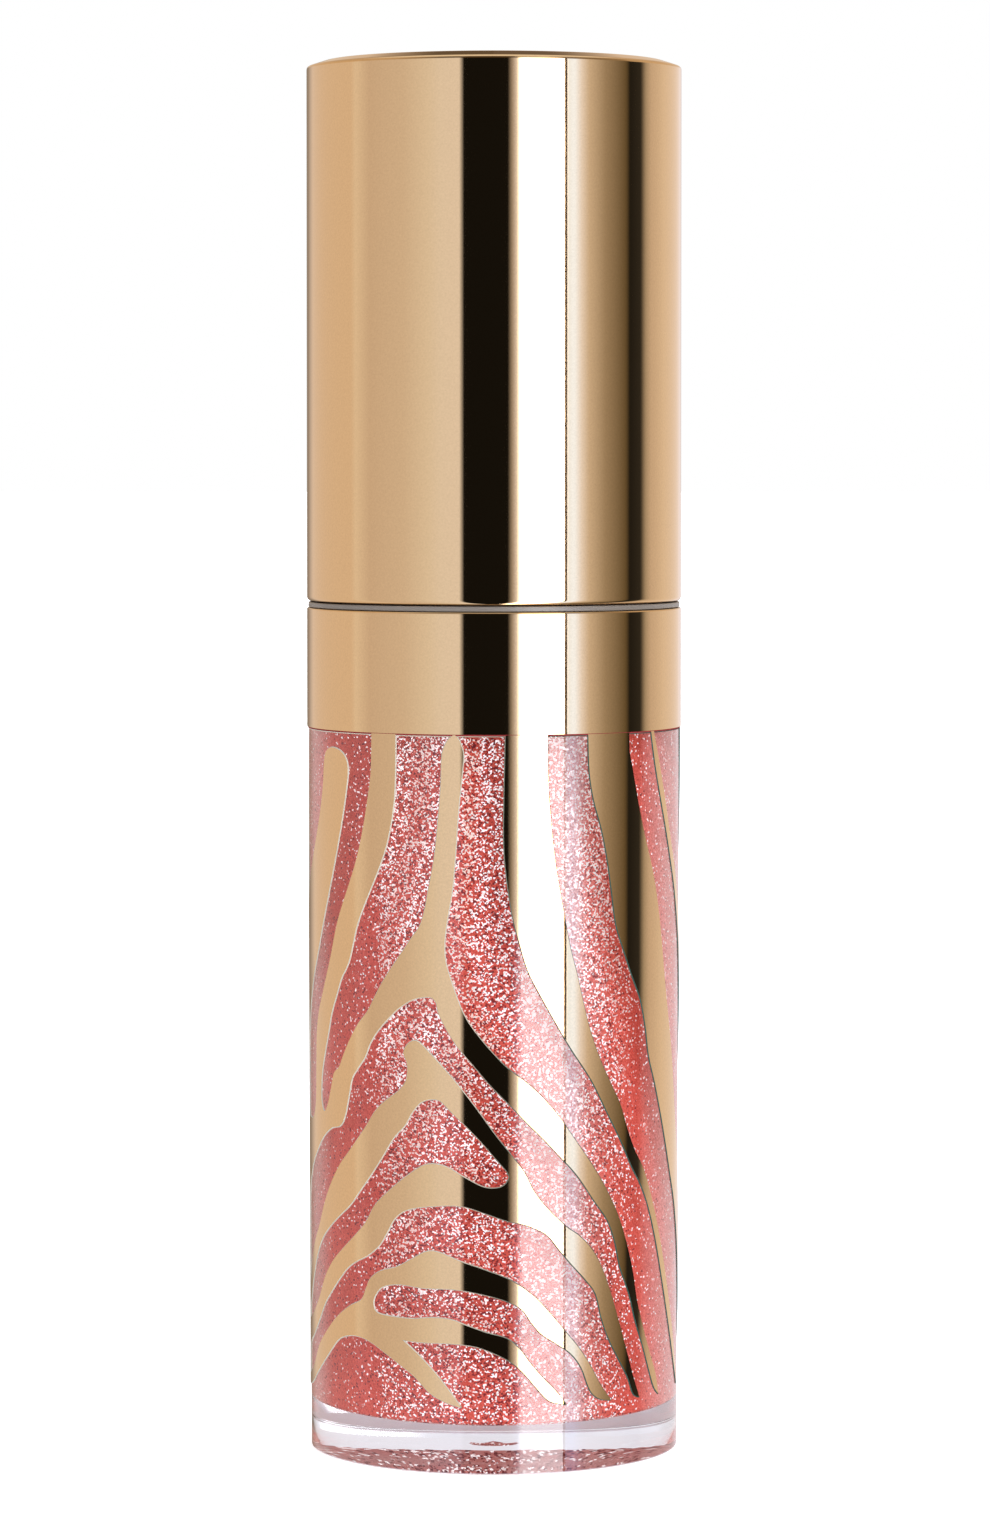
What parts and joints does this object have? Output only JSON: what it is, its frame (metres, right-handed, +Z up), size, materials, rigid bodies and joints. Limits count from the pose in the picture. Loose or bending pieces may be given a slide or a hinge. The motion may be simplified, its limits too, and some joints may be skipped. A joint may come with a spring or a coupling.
{
  "type": "lip gloss tube",
  "caption": "Round lip gloss tube: clear vial with striped gold foil, gold collar and gold screw cap whose wand and flocked tip lift out of the gloss.",
  "frame": {"origin": "centre of the underside of the vial, on the axis of the tube", "axes": "+Z up along the axis of the tube, -Y towards the front of the stripe pattern, +X to its right"},
  "size_m": [0.02, 0.02, 0.0739],
  "materials": {
    "clear_plastic": "polished clear plastic, thick walled",
    "gold_foil": "mirror foil",
    "gold_metal": "polished, anodised champagne gold",
    "grey_ring": "matte",
    "soft_white": "soft satin",
    "coral_gloss": "liquid with glitter",
    "insert_white": "moulded",
    "steel": "turned",
    "foam": "matte foam",
    "rod_plastic": "moulded",
    "core_plastic": "moulded",
    "flock": "short flock"
  },
  "bodies": {
    "tube": {"vial": "clear_plastic", "foil_decor": "gold_foil", "collar": "gold_metal", "seal_ring": "grey_ring", "wiper": "soft_white", "gloss_fill": "coral_gloss"},
    "washer": {"cap_liner": "foam"},
    "cap": {"cap_shell": "gold_metal", "cap_insert": "insert_white", "cap_weight": "steel", "applicator_rod": "rod_plastic", "applicator_tip": "core_plastic", "tip_flocking": "flock"}
  },
  "joints": [
    {"name": "cap_lift", "type": "slide", "parent": "tube", "child": "washer", "axis": [0, 0, 1], "range_m": [0, 0.052]},
    {"name": "cap_turn", "type": "hinge", "parent": "washer", "child": "cap", "pos_m": [0, 0, 0.05], "axis": [0, 0, 1], "range_deg": [0, 540]}
  ]
}
